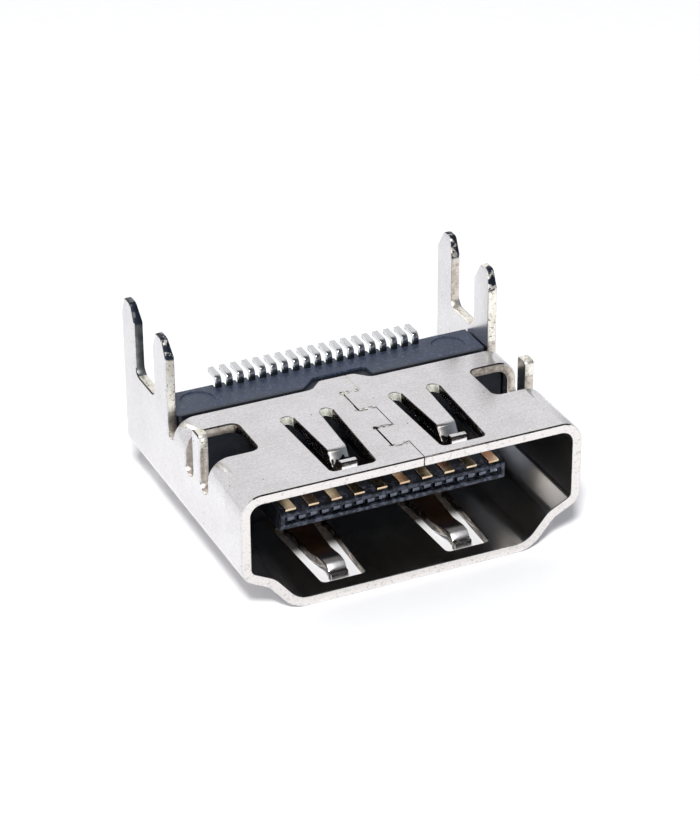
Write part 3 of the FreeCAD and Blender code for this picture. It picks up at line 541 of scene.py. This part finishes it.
def in_seam(edge):
    """Whether an edge belongs to the folded seam in the wide wall."""
    middle = (edge.verts[0].co + edge.verts[1].co) / 2
    in_middle = all(abs(v.co.x) < SEAM_REACH * MM for v in edge.verts)
    at_mouth = abs(middle.y - MOUTH_FACE * MM) < 0.001 * MM
    return in_middle and not at_mouth and middle.z > (ROOF_UNDER - 0.02) * MM


def is_level(edge):
    return abs(edge.verts[0].co.z - edge.verts[1].co.z) < 0.01 * MM


def is_open_side(edge):
    """Whether a seam edge lies on the side of the tabs that the fold has pulled open."""
    return all(OPEN_TABS[0] * MM < v.co.x < OPEN_TABS[1] * MM for v in edge.verts)


def part_faces(mesh):
    """Gives the shell's cut faces the second finish, and returns the outer skin's tree. A face of
    the skin has the other skin one gauge behind it, and a cut face has not."""
    solid = BVHTree.FromBMesh(mesh)
    heart = Vector((0.0, 0.0, 2.9 * MM))
    skin = bmesh.new()
    for face in mesh.faces:
        middle = face.calc_center_median()
        behind = solid.ray_cast(middle - face.normal * 0.004 * MM, -face.normal)[3]
        if behind is None or behind > (SHEET + 0.06) * MM:
            face.material_index = 1
        elif face.normal.dot(middle - heart) > 0:
            skin.faces.new([skin.verts.new(v.co) for v in face.verts])
    tree = BVHTree.FromBMesh(skin)
    skin.free()
    return tree


def is_painted_dark(face):
    """Whether a rounded edge lies round the wide wall's openings and lip, or on its fingers, where
    it is painted dark, as a reflection of the dark surroundings. The slots' rear ends are not
    painted dark."""
    middle = face.calc_center_median() / MM
    if middle.z < ROOF_TOP - 0.1:
        return abs(middle.x) < FINGER_REACH and middle.z > OVER_TONGUE
    if abs(middle.x) < SLOT_REACH and SLOT_END < middle.y < SLOT_END + SLOT_END_LENGTH:
        return False
    return face.normal.z > 0.2 and (face.normal.y < -0.2 or abs(face.normal.x) > 0.2)


def make_shell():
    mesh = merged("shell")
    outer_skin = part_faces(mesh)
    whole_faces(mesh)
    rolled = roll(mesh, corners(mesh, CORNER, lambda e: not in_seam(e)), SHELL_ROLL)
    # Rolled faces of the outer skin that face forward or sideways and up get the painted dark edge
    for face in rolled:
        if outer_skin.find_nearest(face.calc_center_median())[3] < SHELL_ROLL * MM:
            face.material_index = 2 if is_painted_dark(face) else 0
    closed = corners(mesh, CORNER, lambda e: in_seam(e) and is_level(e) and not is_open_side(e))
    roll(mesh, closed, SEAM_ROLL)
    # The open side of the seam's tabs gets the painted dark edge, as painted shade in the gap
    opened = corners(mesh, CORNER, lambda e: in_seam(e) and is_level(e) and is_open_side(e))
    for face in roll(mesh, opened, OPEN_ROLL):
        face.material_index = 2
    depth = mesh.verts.layers.float.new("through_sheet")
    for v in mesh.verts:
        v[depth] = outer_skin.find_nearest(v.co)[3] / MM
    sideways = mesh.faces.layers.float.new("faces_sideways")
    for face in mesh.faces:
        hidden = face.normal.y if face.calc_center_median().y < CUT_FRONT * MM else 0.0
        face[sideways] = max(abs(face.normal.x), hidden)
    sharpen(mesh, SHADING_BREAK)
    piece = show(mesh, "shell_folded", "plated_steel",
                 nickel_sheet(), sheared_edge(), painted_dark_edge())
    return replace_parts(piece, "shell")


def make_housing():
    mesh = merged("housing")
    whole_faces(mesh)
    roll(mesh, corners(mesh, CORNER, lambda e: True), MOULD_ROLL)
    sharpen(mesh, SHADING_BREAK)
    piece = show(mesh, "housing_moulded", "dark_plastic", moulded_plastic())
    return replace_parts(piece, "housing")


def make_contacts():
    strip = contact_strip()
    for node in sorted(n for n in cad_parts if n.startswith("contact_")):
        mesh = merged(node)
        whole_faces(mesh)
        roll(mesh, corners(mesh, CORNER, lambda e: True), CONTACT_ROLL)
        sharpen(mesh, SHADING_BREAK)
        piece = show(mesh, node.replace("contact", "blade"), "plated_copper", strip)
        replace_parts(piece, node)


# ---------------------------------------------------------------- studio
def make_floor():
    mesh = bmesh.new()
    bmesh.ops.create_grid(mesh, x_segments=2, y_segments=2, size=2.5)
    bmesh.ops.translate(mesh, verts=mesh.verts, vec=(0, 0, -0.002 * MM))
    data = bpy.data.meshes.new("floor")
    mesh.to_mesh(data)
    mesh.free()
    data.materials.append(paper_sweep())
    floor = bpy.data.objects.new("floor", data)
    bpy.context.scene.collection.objects.link(floor)


def softbox(name, place, aim, width, height, watts):
    """A large soft lamp at a place, in millimetres, turned to its aim."""
    light = bpy.data.lights.new(name, "AREA")
    light.shape = "RECTANGLE"
    light.size, light.size_y = width * MM, height * MM
    light.energy = watts
    lamp = bpy.data.objects.new(name, light)
    lamp.location = Vector(place) * MM
    lamp.rotation_euler = (Vector(aim) - Vector(place)).to_track_quat("-Z", "Y").to_euler()
    bpy.context.scene.collection.objects.link(lamp)


def make_room():
    """Light walls all round, and a dim ceiling over the camera, as in a white tent that is open at
    the front."""
    world = bpy.data.worlds.new("studio")
    bpy.context.scene.world = world
    world.use_nodes = True
    tree = world.node_tree
    tree.nodes.clear()
    way = add(tree, "TexCoord", "Generated")
    over = add(tree, "VectorMath", "Value",
               {0: way, 1: (-0.25, -0.5, 0.83)}, operation="DOT_PRODUCT")
    aside = add(tree, "VectorMath", "Value",
                {0: way, 1: (0.8, -0.6, 0.0)}, operation="DOT_PRODUCT")
    dim = add(tree, "MapRange", "Result",
              {"Value": over, "From Min": 0.5, "From Max": 0.88}, **SMOOTH)
    side = add(tree, "MapRange", "Result",
               {"Value": aside, "From Min": -0.1, "From Max": 0.7}, **SMOOTH)
    tone = add(tree, "Mix", 2, {0: side, 6: "#FBFAFB", 7: "#7E848C"}, **COLOUR)
    tone = add(tree, "Mix", 2, {0: dim, 6: tone, 7: "#23272F"}, **COLOUR)
    back = add(tree, "Background", "Background", {"Color": tone, "Strength": 1.0})
    add(tree, "OutputWorld", None, {"Surface": back})


def make_camera():
    """Where the photograph was taken from: 122 mm away, 24 degrees to the left, 29 degrees up."""
    right = Vector((0.9089786, -0.4167932, -0.0064331))
    up = Vector((0.2075474, 0.4391455, 0.8741140))
    back = Vector((-0.3614997, -0.7958861, 0.4856782))
    place = Vector((-44.16620, -97.28598, 63.53813)) * MM
    lens = bpy.data.cameras.new("camera")
    lens.sensor_width = 36.0
    lens.lens = 127.575
    lens.clip_start, lens.clip_end = 0.005, 10.0
    camera = bpy.data.objects.new("camera", lens)
    turned = Matrix((right, up, back)).transposed().to_4x4()
    camera.matrix_world = Matrix.Translation(place) @ turned
    bpy.context.scene.collection.objects.link(camera)
    bpy.context.scene.camera = camera


make_shell()
make_housing()
make_contacts()
make_floor()
make_room()
softbox("key", (-150, -290, 380), (0, 0, 3), 80, 80, 2.6)
make_camera()
bpy.context.scene.view_settings.view_transform = "Standard"
